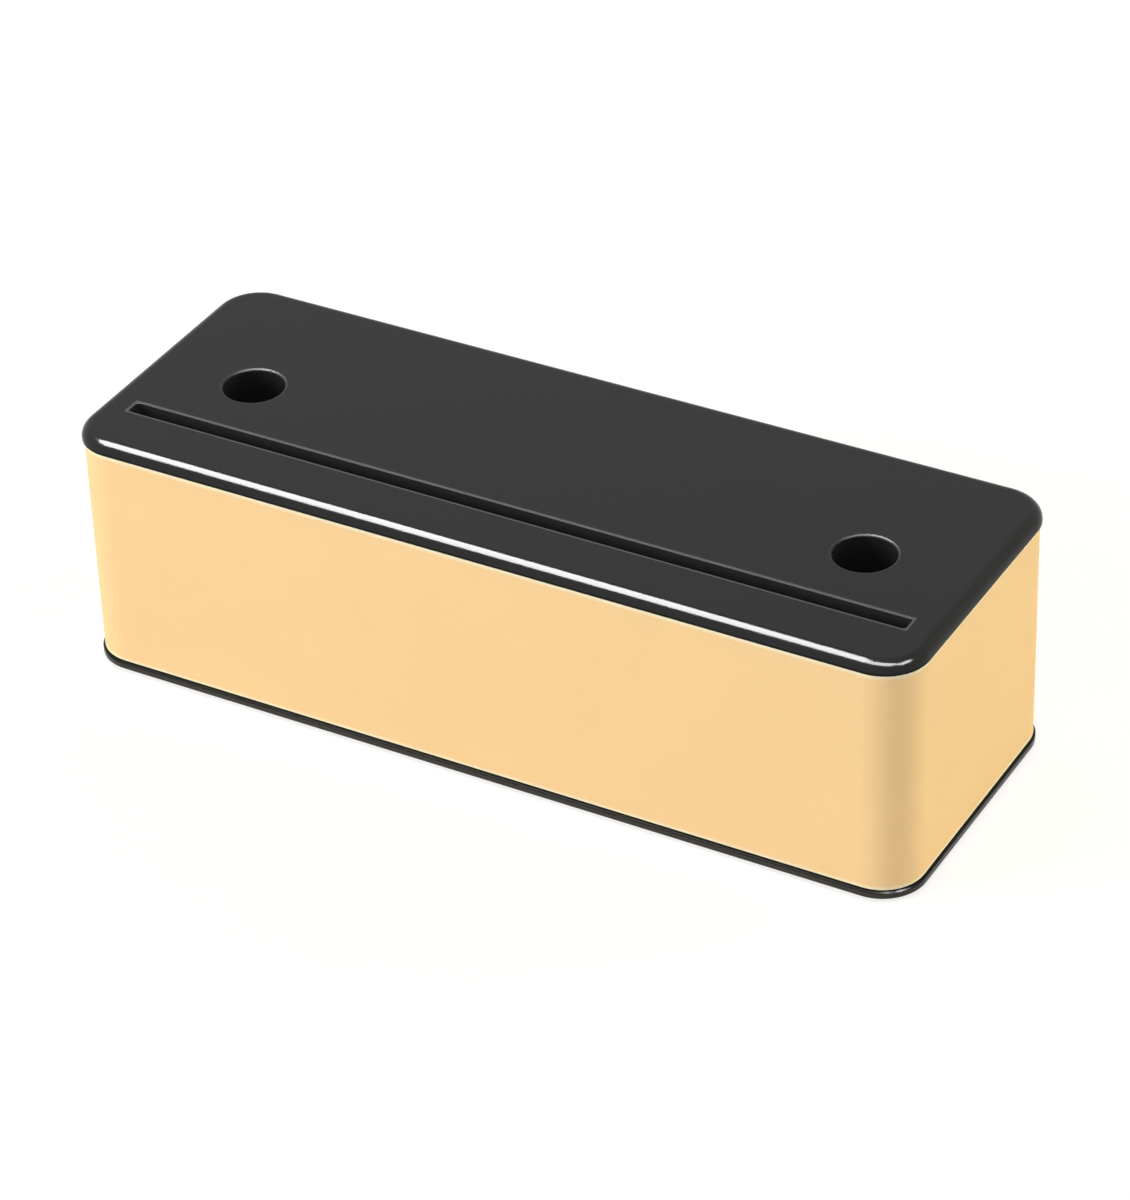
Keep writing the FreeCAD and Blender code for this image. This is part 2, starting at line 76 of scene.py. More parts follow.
SOCKETS = (Vector((-103, -1.7, 0)) * MM, Vector((103, -1.7, 0)) * MM)
LAMP_SIZE = (1.1, 1.0)
CARD_LEVEL = 245.0
CARD_HEIGHT = 1.3
Colour = tuple[float, float, float]
Point = tuple[float, float, float]
Fade = tuple[float, float]


class Slot(Enum):
    """The record's material slots."""

    CAP = "cap_plastic"
    BODY = "body_plastic"
    BASE = "base_plastic"
    PAD = "pad_rubber"
    SCREW = "screw_steel"


class LampFace(Enum):
    """Shapes of a lamp's face."""

    OBLONG = "RECTANGLE"
    OVAL = "ELLIPSE"


def linear(red: int, green: int, blue: int) -> Colour:
    """Turn a screen colour of 0 to 255 into the linear colour that a shader takes.

    Args:
        red: red on the screen.
        green: green on the screen.
        blue: blue on the screen.

    Returns:
        The three linear values.
    """
    low_end, slope, offset, power = 0.04045, 12.92, 0.055, 2.4
    values = []
    for level in (red, green, blue):
        share = level / 255
        bright = ((share + offset) / (1 + offset)) ** power
        values.append(share / slope if share <= low_end else bright)
    return tuple(values)


def add_object(name: str, data: bpy.types.ID) -> bpy.types.Object:
    """Put new data into the scene at the origin.

    Args:
        name: the object's name.
        data: its mesh, lamp or camera.

    Returns:
        The object.
    """
    item = bpy.data.objects.new(name, data)
    bpy.context.scene.collection.objects.link(item)
    return item


def take_mesh(holder: bpy.types.Object) -> bpy.types.Mesh:
    """Turn an object with modifiers into a plain mesh, and take the object away.

    Args:
        holder: the object.

    Returns:
        Its mesh with the modifiers applied.
    """
    graph = bpy.context.evaluated_depsgraph_get()
    mesh = bpy.data.meshes.new_from_object(holder.evaluated_get(graph), depsgraph=graph)
    bpy.data.objects.remove(holder)
    return mesh


def crisp(mesh: bpy.types.Mesh) -> bpy.types.Mesh:
    """Shade a mesh smooth, except across its sharp edges.

    Args:
        mesh: the mesh.

    Returns:
        The same mesh.
    """
    mesh.shade_smooth()
    mesh.set_sharp_from_angle(angle=SHARP)
    return mesh


def circle(radius: float, height: float, sides: int) -> list[Point]:
    """Make a level ring about the upright axis.

    Args:
        radius: its radius.
        height: its height.
        sides: how many points it has.

    Returns:
        The points.
    """
    turns = [math.tau * step / sides for step in range(sides)]
    return [(radius * math.cos(turn), radius * math.sin(turn), height) for turn in turns]


def mesh_from(name: str, points: list[Point], faces: list[tuple]) -> bpy.types.Mesh:
    """Build a smooth mesh with outward faces and crisp edges.

    Args:
        name: the mesh's name.
        points: its points in metres.
        faces: its faces, by number of point.

    Returns:
        The mesh.
    """
    mesh = bpy.data.meshes.new(name)
    mesh.from_pydata(points, [], faces)
    work = bmesh.new()
    work.from_mesh(mesh)
    bmesh.ops.recalc_face_normals(work, faces=work.faces)
    work.to_mesh(mesh)
    work.free()
    return crisp(mesh)


def skin(rings: list[list[Point]]) -> tuple[list[Point], list[tuple]]:
    """Join closed rings of equal count into one skin and close both of its ends.

    Args:
        rings: the rings in order. A ring of one point is a pole.

    Returns:
        The points and the faces.
    """
    points: list[Point] = []
    starts: list[int] = []
    for ring in rings:
        starts.append(len(points))
        points.extend(ring)
    faces: list[tuple] = []
    for (here, low), (after, high) in zip(zip(rings, starts), zip(rings[1:], starts[1:])):
        count = max(len(here), len(after))
        for step in range(count):
            following = (step + 1) % count
            if len(here) == 1:
                faces.append((low, high + step, high + following))
            elif len(after) == 1:
                faces.append((low + step, low + following, high))
            else:
                faces.append((low + step, low + following, high + following, high + step))
    for ring, start in ((rings[0], starts[0]), (rings[-1], starts[-1])):
        if len(ring) > 1:
            faces.append(tuple(range(start, start + len(ring))))
    return points, faces


class MaterialSheet:
    """A material's node tree with short calls for adding and joining nodes."""

    def __init__(self, name: str) -> None:
        """Make an empty material with an output.

        Args:
            name: the material's name.
        """
        self.material = bpy.data.materials.new(name)
        self.material.use_nodes = True
        self.tree = self.material.node_tree
        self.tree.nodes.clear()
        self.output = self.add("ShaderNodeOutputMaterial")
        self.place = self.add("ShaderNodeTexCoord").outputs["Object"]

    def add(self, kind: str, **values: object) -> bpy.types.Node:
        """Add a node.

        Args:
            kind: the node's type.
            values: settings of the node, or its sockets by name with _ for a space.

        Returns:
            The new node.
        """
        node = self.tree.nodes.new(kind)
        for key, value in values.items():
            if hasattr(node, key):
                setattr(node, key, value)
            else:
                node.inputs[key.replace("_", " ")].default_value = value
        return node

    def join(self, source: bpy.types.NodeSocket, target: bpy.types.NodeSocket) -> None:
        """Link an output to an input."""
        self.tree.links.new(source, target)

    def noise(self, feature: float, detail: float = 3.0) -> bpy.types.NodeSocket:
        """Noise on the object's own coordinates.

        Args:
            feature: size of the pattern in metres.
            detail: octaves of the noise.

        Returns:
            The noise's value, 0 to 1.
        """
        noise = self.add("ShaderNodeTexNoise", Scale=1 / feature, Detail=detail,
                         Roughness=NOISE_ROUGHNESS)
        self.join(self.place, noise.inputs["Vector"])
        return noise.outputs["Fac"]

    def spread(self, source: bpy.types.NodeSocket, low: float, high: float,
               start: float = 0.3, end: float = 0.7) -> bpy.types.NodeSocket:
        """Map a value from start and end to low and high.

        Args:
            source: the value.
            low: result at start.
            high: result at end.
            start: value that gives low.
            end: value that gives high.

        Returns:
            The mapped value, kept between low and high.
        """
        ramp = self.add("ShaderNodeMapRange", From_Min=start, From_Max=end, To_Min=low, To_Max=high)
        self.join(source, ramp.inputs["Value"])
        return ramp.outputs["Result"]

    def until(self, source: bpy.types.NodeSocket, full: float,
              none: float) -> bpy.types.NodeSocket:
        """Mask of 1 up to one value, which has faded to 0 at a greater one."""
        return self.spread(source, 1.0, 0.0, full, none)

    def beyond(self, source: bpy.types.NodeSocket, none: float,
               full: float) -> bpy.types.NodeSocket:
        """Mask of 0 up to one value, which has risen to 1 at a greater one."""
        return self.spread(source, 0.0, 1.0, none, full)

    def along(self, axis: int) -> bpy.types.NodeSocket:
        """One coordinate of the object, in metres.

        Args:
            axis: 0 for the length, 1 for the width and 2 for the height.

        Returns:
            The coordinate.
        """
        parts = self.add("ShaderNodeSeparateXYZ")
        self.join(self.place, parts.inputs[0])
        return parts.outputs[axis]

    def height(self) -> bpy.types.NodeSocket:
        """Height above the floor, in metres."""
        return self.along(2)

    def offset(self, axis: int, middle: float) -> bpy.types.NodeSocket:
        """Distance along one axis from a middle plane.

        Args:
            axis: 0 for the length and 1 for the width.
            middle: the plane's place on that axis.

        Returns:
            The distance, never negative.
        """
        away = self.add("ShaderNodeMath", operation="SUBTRACT")
        away.inputs[1].default_value = middle
        size = self.add("ShaderNodeMath", operation="ABSOLUTE")
        self.join(self.along(axis), away.inputs[0])
        self.join(away.outputs[0], size.inputs[0])
        return size.outputs[0]

    def distance(self, centre: Vector) -> bpy.types.NodeSocket:
        """Distance from an upright axis, in metres.

        Args:
            centre: a point on the axis.

        Returns:
            The distance.
        """
        flat = self.add("ShaderNodeVectorMath", operation="MULTIPLY_ADD")
        flat.inputs[1].default_value = (1, 1, 0)
        flat.inputs[2].default_value = (-centre.x, -centre.y, 0)
        length = self.add("ShaderNodeVectorMath", operation="LENGTH")
        self.join(self.place, flat.inputs[0])
        self.join(flat.outputs[0], length.inputs[0])
        return length.outputs["Value"]

    def blend(self, mask: bpy.types.NodeSocket, plain: object,
              marked: object) -> bpy.types.NodeSocket:
        """Mix two colours by a mask.

        Args:
            mask: 0 for the plain colour and 1 for the marked one.
            plain: a colour, or an output that gives one.
            marked: a colour, or an output that gives one.

        Returns:
            The mixed colour.
        """
        mix = self.add("ShaderNodeMix", data_type="RGBA")
        self.join(mask, mix.inputs[0])
        colours = [socket for socket in mix.inputs if socket.type == "RGBA"]
        for socket, colour in zip(colours, (plain, marked)):
            if isinstance(colour, bpy.types.NodeSocket):
                self.join(colour, socket)
            else:
                socket.default_value = (*colour, 1)
        return next(socket for socket in mix.outputs if socket.type == "RGBA")

    def mottle(self, colour: Colour, depth: float,
               source: bpy.types.NodeSocket) -> bpy.types.NodeSocket:
        """Let a colour vary in brightness.

        Args:
            colour: the linear colour in the middle.
            depth: largest change of brightness, as a share.
            source: the noise that drives it.

        Returns:
            The colour.
        """
        dark, light = ([min(1.0, part * share) for part in colour]
                       for share in (1 - depth, 1 + depth))
        return self.blend(self.spread(source, 0.0, 1.0), dark, light)

    def combine(self, operation: str, first: bpy.types.NodeSocket,
                second: bpy.types.NodeSocket, **settings: object) -> bpy.types.NodeSocket:
        """Work out one value from two.

        Args:
            operation: the math node's operation.
            first: the first value.
            second: the second value.
            settings: other settings of the math node.

        Returns:
            The result.
        """
        node = self.add("ShaderNodeMath", operation=operation, **settings)
        self.join(first, node.inputs[0])
        self.join(second, node.inputs[1])
        return node.outputs[0]

    def either(self, first: bpy.types.NodeSocket,
               second: bpy.types.NodeSocket) -> bpy.types.NodeSocket:
        """The greater of two values."""
        return self.combine("MAXIMUM", first, second)

    def both(self, first: bpy.types.NodeSocket,
             second: bpy.types.NodeSocket) -> bpy.types.NodeSocket:
        """The lesser of two values."""
        return self.combine("MINIMUM", first, second)

    def bump(self, source: bpy.types.NodeSocket, height: float,
             below: bpy.types.NodeSocket = None) -> bpy.types.NodeSocket:
        """Raise a pattern on the surface.

        Args:
            source: the pattern, 0 to 1.
            height: height of the pattern in metres.
            below: the normal of another bump that this one lies on.

        Returns:
            The normal.
        """
        bump = self.add("ShaderNodeBump", Strength=1.0, Distance=height)
        self.join(source, bump.inputs["Height"])
        if below is not None:
            self.join(below, bump.inputs["Normal"])
        return bump.outputs["Normal"]

    def finish(self, colour: bpy.types.NodeSocket, roughness: bpy.types.NodeSocket,
               normal: bpy.types.NodeSocket, **fixed: float) -> bpy.types.Material:
        """Join everything to one Principled shader.

        Args:
            colour: base colour.
            roughness: roughness.
            normal: normal.
            fixed: values of the shader that are the same all over, by socket name.

        Returns:
            The finished material.
        """
        shader = self.add("ShaderNodeBsdfPrincipled", **fixed)
        self.join(colour, shader.inputs["Base Color"])
        self.join(roughness, shader.inputs["Roughness"])
        self.join(normal, shader.inputs["Normal"])
        self.join(shader.outputs["BSDF"], self.output.inputs["Surface"])
        return self.material


@dataclass(frozen=True)
class MouldedPlastic:
    """Satin injection-moulded plastic with a fine spark-eroded grain."""

    name: str
    colour: Colour
    roughness: float
    specular: float
    mottle: float = 0.01
    octaves: float = 2.0
    roughness_spread: float = 0.03
    grain: float = 0.22 * MM
    grain_height: float = 0.004 * MM
    flow: float = 40 * MM
    peel: float = 6 * MM
    peel_height: float = 0.01 * MM

    def ground(self, sheet: MaterialSheet) -> bpy.types.NodeSocket:
        """The plastic's own colour with its faint flow marks."""
        return sheet.mottle(self.colour, self.mottle, sheet.noise(self.flow, self.octaves))

    def tinted(self, sheet: MaterialSheet) -> bpy.types.NodeSocket:
        """The colour with whatever marks the piece has."""
        return self.ground(sheet)

    def polish(self, sheet: MaterialSheet,
               grain: bpy.types.NodeSocket) -> bpy.types.NodeSocket:
        """The roughness, which follows the grain."""
        return sheet.spread(grain, self.roughness - self.roughness_spread,
                            self.roughness + self.roughness_spread)

    def build(self) -> bpy.types.Material:
        """Make the material.

        Returns:
            The finished material.
        """
        sheet = MaterialSheet(self.name)
        grain = sheet.noise(self.grain, self.octaves)
        peel = sheet.bump(sheet.noise(self.peel, self.octaves), self.peel_height)
        normal = sheet.bump(grain, self.grain_height, peel)
        return sheet.finish(self.tinted(sheet), self.polish(sheet, grain), normal,
                            Specular_IOR_Level=self.specular)


@dataclass(frozen=True)
class CapPlastic(MouldedPlastic):
    """Charcoal plastic of the cap, with painted shade in its sockets and along its foot, painted
    light on the groove's sides, and a rougher line round the groove with a slight painted
    highlight.

    A fade is the height where a mask starts to change and the height where it has changed. The
    seam's is measured up from the cap's foot, and the others down from its top face. Soft is the
    width over which a mask ends in plan.
    """

    top: float = 0.0
    foot: float = 0.0
    soft: float = 0.1 * MM
    sockets: tuple[Vector, ...] = SOCKETS
    bore: float = 9.5 * MM
    mouth: float = 0.75 * MM
    mouth_roughness: float = 0.42
    mouth_fade: Fade = (0.9 * MM, 0.7 * MM)
    # Painted shade: the sockets' bores and mouths are coloured darker, standing for the shadow
    # inside the holes.
    bore_shade_colour: Colour = linear(37, 37, 37)
    bore_shade_fade: Fade = (0.08 * MM, 0.02 * MM)
    # Painted shade: a near-black band up from the cap's foot stands for the shadow in the gap
    # between cap and body.
    seam_shade_colour: Colour = linear(10, 10, 10)
    seam_shade_fade: Fade = (0.5 * MM, 0.9 * MM)
    groove_end: float = 129.5 * MM
    groove_middle: float = -28.1 * MM
    groove_half: float = 2.6 * MM
    wall_reach: float = 0.05 * MM
    # Painted light: the groove's sides are coloured paler than the cap, standing for light that
    # reaches into the groove.
    wall_light_colour: Colour = linear(52, 52, 52)
    wall_light_fade: Fade = (0.9 * MM, 0.6 * MM)
    rim_width: float = 0.9 * MM
    # Partly painted highlight: the rim's extra roughness is real, and its colour, a little paler
    # than the cap's, stands for the light line on the groove's rounded edge.
    rim_highlight_colour: Colour = linear(44, 44, 44)
    rim_roughness: float = 0.8
    rim_fade: Fade = (0.6 * MM, 0.4 * MM)

    def upper(self, sheet: MaterialSheet, fade: Fade) -> bpy.types.NodeSocket:
        """Mask of what lies above a fade."""
        return sheet.beyond(sheet.height(), self.top - fade[0], self.top - fade[1])

    def lower(self, sheet: MaterialSheet, fade: Fade) -> bpy.types.NodeSocket:
        """Mask of what lies below a fade."""
        return sheet.until(sheet.height(), self.top - fade[0], self.top - fade[1])

    def in_groove(self, sheet: MaterialSheet, margin: float) -> bpy.types.NodeSocket:
        """Mask of the groove's plan.

        Args:
            sheet: the material.
            margin: how far the mask reaches past the groove.

        Returns:
            The mask.
        """
        masks = []
        for axis, middle, half in ((0, 0.0, self.groove_end),
                                   (1, self.groove_middle, self.groove_half)):
            edge = half + margin
            masks.append(sheet.until(sheet.offset(axis, middle), edge - self.soft,
                                     edge + self.soft))
        return sheet.both(*masks)

    def in_sockets(self, sheet: MaterialSheet) -> bpy.types.NodeSocket:
        """Mask of the sockets' plan with their mouths.

        Args:
            sheet: the material.

        Returns:
            The mask.
        """
        edge = self.bore + self.mouth
        left, right = (sheet.until(sheet.distance(centre), edge, edge + self.soft)
                       for centre in self.sockets)
        return sheet.either(left, right)

    def rim(self, sheet: MaterialSheet) -> bpy.types.NodeSocket:
        """Mask of the narrow line round the groove, on the top face only.

        Args:
            sheet: the material.

        Returns:
            The mask.
        """
        line = sheet.combine("SUBTRACT", self.in_groove(sheet, self.rim_width),
                             self.in_groove(sheet, self.wall_reach), use_clamp=True)
        return sheet.both(line, self.upper(sheet, self.rim_fade))

    def tinted(self, sheet: MaterialSheet) -> bpy.types.NodeSocket:
        """Charcoal with painted shade in the sockets and along the foot, painted light on the
        groove's sides and a slight painted highlight round the groove.

        Args:
            sheet: the material.

        Returns:
            The colour.
        """
        # Painted shade along the cap's foot, where it meets the body.
        start, end = self.seam_shade_fade
        seam_shade = sheet.until(sheet.height(), self.foot + start, self.foot + end)
        # Painted light on the groove's sides.
        wall_light = sheet.both(self.in_groove(sheet, self.wall_reach),
                           self.lower(sheet, self.wall_light_fade))
        # Painted shade inside the sockets, from just below the top face downwards.
        bore_shade = sheet.both(self.in_sockets(sheet), self.lower(sheet, self.bore_shade_fade))
        colour = self.ground(sheet)
        for mask, marked in ((seam_shade, self.seam_shade_colour), (wall_light, self.wall_light_colour),
                             (self.rim(sheet), self.rim_highlight_colour), (bore_shade, self.bore_shade_colour)):
            colour = sheet.blend(mask, colour, marked)
        return colour

    def polish(self, sheet: MaterialSheet,
               grain: bpy.types.NodeSocket) -> bpy.types.NodeSocket:
        """Satin, and duller along the groove's rim and in the sockets' mouths.

        Args:
            sheet: the material.
            grain: the grain's noise.

        Returns:
            The roughness.
        """
        mouths = sheet.both(self.in_sockets(sheet), self.upper(sheet, self.mouth_fade))
        dull = sheet.either(sheet.spread(self.rim(sheet), 0.0, self.rim_roughness, 0.0, 1.0),
                            sheet.spread(mouths, 0.0, self.mouth_roughness, 0.0, 1.0))
        return sheet.either(super().polish(sheet, grain), dull)


@dataclass(frozen=True)
class BodyPlastic(MouldedPlastic):
    """Tan plastic of the body, with painted highlight lines along its top and foot edges."""

    foot: float = 0.0
    top: float = 0.0
    foot_edge: float = 0.75 * MM
    top_edge: float = 1.1 * MM
    soften: float = 1.0 * MM
    # Painted highlight: a pale cream band along the top and foot edges stands for light caught by
    # the eased edges.
    edge_highlight_colour: Colour = linear(255, 240, 202)

    def tinted(self, sheet: MaterialSheet) -> bpy.types.NodeSocket:
        """Tan with painted highlight lines along the top and foot edges.

        Args:
            sheet: the material.

        Returns:
            The colour.
        """
        height = sheet.height()
        foot_line, top_line = self.foot + self.foot_edge, self.top - self.top_edge
        at_foot = sheet.until(height, foot_line, foot_line + self.soften)
        at_top = sheet.beyond(height, top_line - self.soften, top_line)
        return sheet.blend(sheet.either(at_foot, at_top), self.ground(sheet), self.edge_highlight_colour)


@dataclass(frozen=True)
class BasePlastic(MouldedPlastic):
    """Charcoal plastic of the base, with painted shade where the body stands on it."""

    ledge: float = 0.0
    line: float = 0.5 * MM
    soften: float = 0.25 * MM
    # Painted shade: a dark band along the top of the base stands for the shadow in the joint under
    # the body.
    ledge_shade_colour: Colour = linear(16, 14, 9)

    def tinted(self, sheet: MaterialSheet) -> bpy.types.NodeSocket:
        """Charcoal with painted shade along its upper edge.

        Args:
            sheet: the material.

        Returns:
            The colour.
        """
        start = self.ledge - self.line
        mask = sheet.beyond(sheet.height(), start - self.soften, start)
        return sheet.blend(mask, self.ground(sheet), self.ledge_shade_colour)


@dataclass(frozen=True)
class PadRubber:
    """Black rubber with pores and a dusty, slightly uneven face."""

    name: str = "pad_black_rubber"
    colour: Colour = linear(36, 36, 37)
    roughness: float = 0.78
    roughness_spread: float = 0.08
    specular: float = 0.35
    mottle: float = 0.14
    dust: float = 7.0 * MM
    pore: float = 0.35 * MM
    pore_octaves: float = 4.0
    pore_height: float = 0.02 * MM

    def build(self) -> bpy.types.Material:
        """Make the material.

        Returns:
            The finished material.
        """
        sheet = MaterialSheet(self.name)
        dust = sheet.noise(self.dust)
        rough = sheet.spread(dust, self.roughness - self.roughness_spread,
                             self.roughness + self.roughness_spread)
        normal = sheet.bump(sheet.noise(self.pore, self.pore_octaves), self.pore_height)
        return sheet.finish(sheet.mottle(self.colour, self.mottle, dust), rough, normal,
                            Specular_IOR_Level=self.specular)


@dataclass(frozen=True)
class ZincSteel:
    """Zinc-plated steel of the screws, clouded and lightly scratched."""

    name: str = "screw_zinc_plate"
    colour: Colour = linear(196, 198, 202)
    least_roughness: float = 0.22
    most_roughness: float = 0.38
    mottle: float = 0.08
    bloom: float = 1.5 * MM
    scratch: float = 0.1 * MM
    scratch_height: float = 0.003 * MM

    def build(self) -> bpy.types.Material:
        """Make the material.

        Returns:
            The finished material.
        """
        sheet = MaterialSheet(self.name)
        bloom = sheet.noise(self.bloom)
        rough = sheet.spread(bloom, self.least_roughness, self.most_roughness)
        normal = sheet.bump(sheet.noise(self.scratch), self.scratch_height)
        return sheet.finish(sheet.mottle(self.colour, self.mottle, bloom), rough, normal,
                            Metallic=1.0)


class RepeatSheet:
    """A geometry node tree that sets copies of one shape on the points of a mesh."""

    def __init__(self, name: str) -> None:
        """Start a tree with its geometry sockets.

        Args:
            name: the tree's name.
        """
        self.tree = bpy.data.node_groups.new(name, "GeometryNodeTree")
        for side in ("INPUT", "OUTPUT"):
            self.tree.interface.new_socket("Geometry", in_out=side,
                                           socket_type="NodeSocketGeometry")
        self.source = self.add("NodeGroupInput")
        self.result = self.add("NodeGroupOutput")
        self.values: dict[str, object] = {}

    def add(self, kind: str, **settings: object) -> bpy.types.Node:
        """Add a node.

        Args:
            kind: the node's type.
            settings: its settings by name.

        Returns:
            The new node.
        """
        node = self.tree.nodes.new(kind)
        for key, value in settings.items():
            setattr(node, key, value)
        return node

    def ask(self, name: str, kind: str, value: object) -> bpy.types.NodeSocket:
        """Add a named input.

        Args:
            name: its name.
            kind: its socket type.
            value: what the modifier passes to it.

        Returns:
            The input's socket inside the tree.
        """
        socket = self.tree.interface.new_socket(name, in_out="INPUT", socket_type=kind)
        self.values[socket.identifier] = value
        return self.source.outputs[name]

    def join(self, source: bpy.types.NodeSocket, node: bpy.types.Node, name: str) -> None:
        """Link an output to a node's named input."""
        self.tree.links.new(source, node.inputs[name])

    def run(self, name: str, points: list[Point]) -> bpy.types.Mesh:
        """Run the tree on some points.

        Args:
            name: the resulting mesh's name.
            points: where the copies go.

        Returns:
            The result as a plain mesh.
        """
        seed = bpy.data.meshes.new(name + "_points")
        seed.from_pydata(points, [], [])
        holder = add_object(name + "_holder", seed)
        modifier = holder.modifiers.new("repeat", "NODES")
        modifier.node_group = self.tree
        for identifier, value in self.values.items():
            modifier[identifier] = value
        mesh = take_mesh(holder)
        mesh.name = name
        return mesh


def repeat_shape(name: str, shape: bpy.types.Mesh, points: list[Point],
                 material: bpy.types.Material, most_turn: float = 0.0) -> bpy.types.Mesh:
    """Set a shape on points with geometry nodes.

    Args:
        name: the resulting mesh's name.
        shape: what is repeated.
        points: where.
        material: its material.
        most_turn: each copy is turned about its own axis by up to this, in radians.

    Returns:
        One plain mesh of all the copies.
    """
    pattern = add_object(name + "_shape", shape)
    sheet = RepeatSheet(name + "_tree")
    shown = sheet.ask("Shape", "NodeSocketObject", pattern)
    turn = sheet.ask("Most turn", "NodeSocketFloat", most_turn)
    finish = sheet.ask("Material", "NodeSocketMaterial", material)
    info = sheet.add("GeometryNodeObjectInfo")
    chance = sheet.add("FunctionNodeRandomValue", data_type="FLOAT")
    chance.inputs["Seed"].default_value = TURN_SEED
    angle = sheet.add("ShaderNodeCombineXYZ")
    spots = sheet.add("GeometryNodeMeshToPoints")
    copies = sheet.add("GeometryNodeInstanceOnPoints")
    real = sheet.add("GeometryNodeRealizeInstances")
    dressed = sheet.add("GeometryNodeSetMaterial")
    sheet.join(shown, info, "Object")
    most = next(slot for slot in chance.inputs if slot.name == "Max" and slot.type == "VALUE")
    drawn = next(slot for slot in chance.outputs if slot.type == "VALUE" and slot.enabled)
    sheet.tree.links.new(turn, most)
    sheet.join(drawn, angle, "Z")
    sheet.join(sheet.source.outputs["Geometry"], spots, "Mesh")
    sheet.join(spots.outputs["Points"], copies, "Points")
    sheet.join(info.outputs["Geometry"], copies, "Instance")
    sheet.join(angle.outputs["Vector"], copies, "Rotation")
    sheet.join(copies.outputs["Instances"], real, "Geometry")
    sheet.join(real.outputs["Geometry"], dressed, "Geometry")
    sheet.join(finish, dressed, "Material")
    sheet.join(dressed.outputs["Geometry"], sheet.result, "Geometry")
    mesh = sheet.run(name, points)
    bpy.data.objects.remove(pattern)
    return mesh


@dataclass
class MouldedNode:
    """A piece that is shown as the frame has it, with a finish."""

    node: str
    slot: Slot

    def dress(self, frame: dict, finish: bpy.types.Material) -> None:
        """Give the node its finish.

        Args:
            finish: the material to show.
        """
        piece = frame["nodes"][self.node]
        piece.data.materials.clear()
        piece.data.materials.append(finish)
        LOG.info("%s in %s", self.node, finish.name)


@dataclass
class FootPad:
    """Rubber pad with a raised rim and rows of round studs on its underside."""

    node: str
    corner: float = 4.0 * MM
    corner_steps: int = 8
    edge: float = 0.25 * MM
    rim: float = 1.3 * MM
    tread: float = 0.55 * MM
    draft: float = 0.15 * MM
    stud_radius: float = 0.95 * MM
    stud_sides: int = 12
    stud_pitch: float = 2.9 * MM
    root_sink: float = 0.1 * MM

    def ring(self, inset: float, height: float) -> list[Point]:
        """The pad's outline, moved inwards.

        Args:
            inset: how far inwards.
            height: height above the floor.

        Returns:
            The points of the ring.
        """
        low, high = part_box(self.node)
        radius = max(self.corner - inset, self.edge)
        centres = [(high.x, high.y, 0), (low.x, high.y, 1), (low.x, low.y, 2), (high.x, low.y, 3)]
        points = []
        for x, y, quarter in centres:
            reach_x = math.copysign(inset + radius, x - (low.x + high.x) / 2)
            reach_y = math.copysign(inset + radius, y - (low.y + high.y) / 2)
            for step in range(self.corner_steps + 1):
                angle = (quarter + step / self.corner_steps) * math.pi / 2
                points.append((x - reach_x + radius * math.cos(angle),
                               y - reach_y + radius * math.sin(angle), height))
        return points

    def slab(self) -> bpy.types.Mesh:
        """Make the pad without its studs.

        Returns:
            Its mesh.
        """
        low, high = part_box(self.node)
        top, floor = high.z, low.z
        rings = [
            self.ring(self.edge, top), self.ring(0.0, top - self.edge),
            self.ring(0.0, floor + self.edge), self.ring(self.edge, floor),
            self.ring(self.rim, floor), self.ring(self.rim + self.draft, floor + self.tread),
        ]
        return mesh_from(self.node + "_slab", *skin(rings))

    def stud(self) -> bpy.types.Mesh:
        """Make one stud, wider at its root, which hangs from the tread and points down.

        Returns:
            Its mesh.
        """
        profile = ((self.stud_radius + self.draft, self.tread + self.root_sink),
                   (self.stud_radius, self.draft), (self.stud_radius - self.draft, 0))
        rings = [circle(radius, height, self.stud_sides) for radius, height in profile]
        return mesh_from(self.node + "_stud", *skin(rings))

    def stud_places(self) -> list[Point]:
        """Find where the studs stand: offset rows inside the rim, clear of its corners.

        Returns:
            The points.
        """
        low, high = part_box(self.node)
        centre = (low + high) / 2
        margin = self.rim + 2 * self.draft + self.stud_radius + self.edge
        half_x, half_y = (high.x - low.x) / 2 - margin, (high.y - low.y) / 2 - margin
        row_pitch = self.stud_pitch * math.sqrt(3) / 2
        rows = int(half_y / row_pitch)
        places = []
        for row in range(-rows, rows + 1):
            shift = (row % 2) * self.stud_pitch / 2
            y = row * row_pitch
            count = int((half_x + shift) / self.stud_pitch)
            for step in range(-count, count + 1):
                x = step * self.stud_pitch + shift
                if abs(x) <= half_x:
                    places.append((centre.x + x, centre.y + y, low.z))
        return places

    def build(self, rubber: bpy.types.Material) -> bpy.types.Object:
        """Build the pad.

        Args:
            rubber: its material.

        Returns:
            The finished piece.
        """
        mesh = self.slab()
        mesh.materials.append(rubber)
        studs = repeat_shape(self.node + "_studs", self.stud(), self.stud_places(), rubber)
        work = bmesh.new()
        work.from_mesh(mesh)
        work.from_mesh(studs)
        work.to_mesh(mesh)
        work.free()
        piece = add_object(self.node + "_treaded", mesh)
        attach(piece, ROOT)
        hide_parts(self.node)
        LOG.info("%s with %d studs", piece.name, len(self.stud_places()))
        return piece


